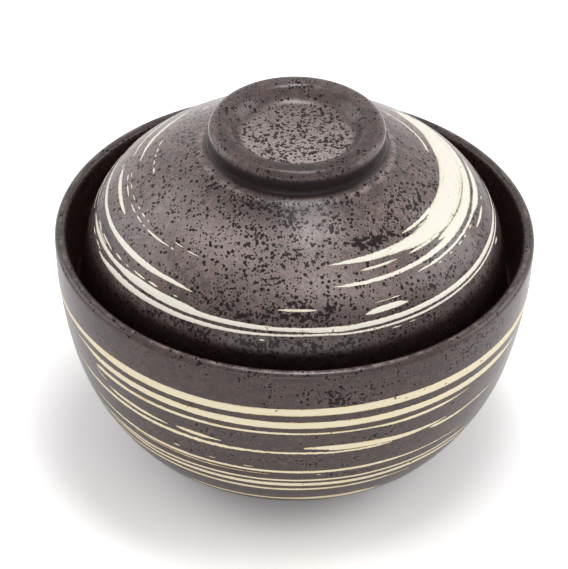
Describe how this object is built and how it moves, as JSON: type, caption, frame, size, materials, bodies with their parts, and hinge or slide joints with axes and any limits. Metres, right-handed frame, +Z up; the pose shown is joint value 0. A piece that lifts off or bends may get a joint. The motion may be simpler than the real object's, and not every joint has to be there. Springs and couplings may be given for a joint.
{
  "type": "donburi bowl with lid",
  "caption": "Deep stoneware rice bowl on a turned foot ring, with a domed lid that drops inside its lip and lifts off by a dished ring knob.",
  "frame": {"origin": "centre of the foot ring's resting face, on the upright axis of both pieces", "axes": "+Z up along the axis that the bowl and the lid are turned about, +X to the right and -Y towards the viewer of the picture"},
  "size_m": [0.15, 0.15, 0.1174],
  "materials": {
    "bowl_glaze": "satin brown-black iron glaze with fine dark specks and thin brushed bands of cream slip, unglazed on the foot ring and on the lid's seat",
    "lid_glaze": "satin brown-black iron glaze with fine dark specks and brushed sweeps of white slip, unglazed on the rim"
  },
  "bodies": {
    "bowl": {"bowl": "bowl_glaze"},
    "lid": {"lid": "lid_glaze"}
  },
  "joints": [
    {"name": "lid_lift", "type": "slide", "parent": "bowl", "child": "lid", "axis": [0, 0, 1], "range_m": [0, 0.06]}
  ]
}
